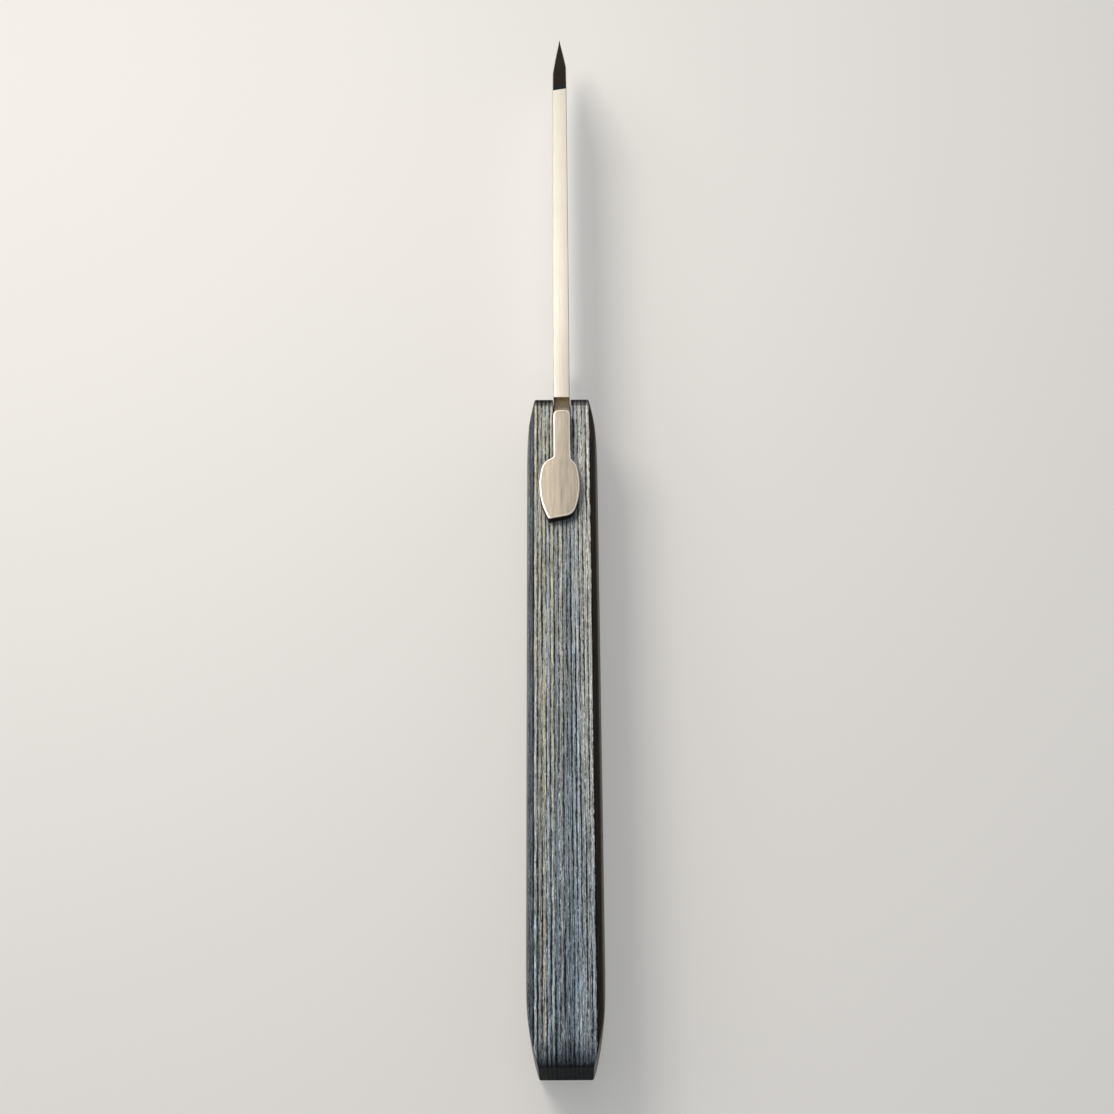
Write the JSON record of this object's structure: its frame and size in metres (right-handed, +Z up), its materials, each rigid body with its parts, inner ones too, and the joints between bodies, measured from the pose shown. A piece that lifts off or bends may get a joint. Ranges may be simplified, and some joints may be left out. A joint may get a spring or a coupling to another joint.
{
  "type": "folding knife",
  "caption": "Friction folding knife with a reverse tanto blade, a one-piece thumb lever that rests on the spine, and a layered cloth laminate handle.",
  "frame": {"origin": "under the middle of the whole open knife, on the plane of the belly", "axes": "+X along the knife towards the tip, +Y to the left side with the spine up, +Z up from the belly to the spine"},
  "size_m": [0.198, 0.0122, 0.0213],
  "materials": {
    "laminate": "satin, plies of blue, grey and white cloth in resin",
    "blade_steel": "satin, ground lengthwise",
    "pin_steel": "peened and dressed",
    "washer_bronze": "rolled"
  },
  "bodies": {
    "handle": {"scale_left": "laminate", "scale_right": "laminate", "spine_spacer": "laminate", "pivot_pin": "pin_steel", "washer_left": "washer_bronze", "washer_right": "washer_bronze", "handle_pin_front": "pin_steel", "handle_pin_middle": "pin_steel", "handle_pin_rear": "pin_steel"},
    "blade": {"blade": "blade_steel"}
  },
  "joints": [
    {"name": "blade_fold", "type": "hinge", "parent": "handle", "child": "blade", "pos_m": [0.012, 0, 0.01], "axis": [0, 1, 0], "range_deg": [0, 180]}
  ]
}
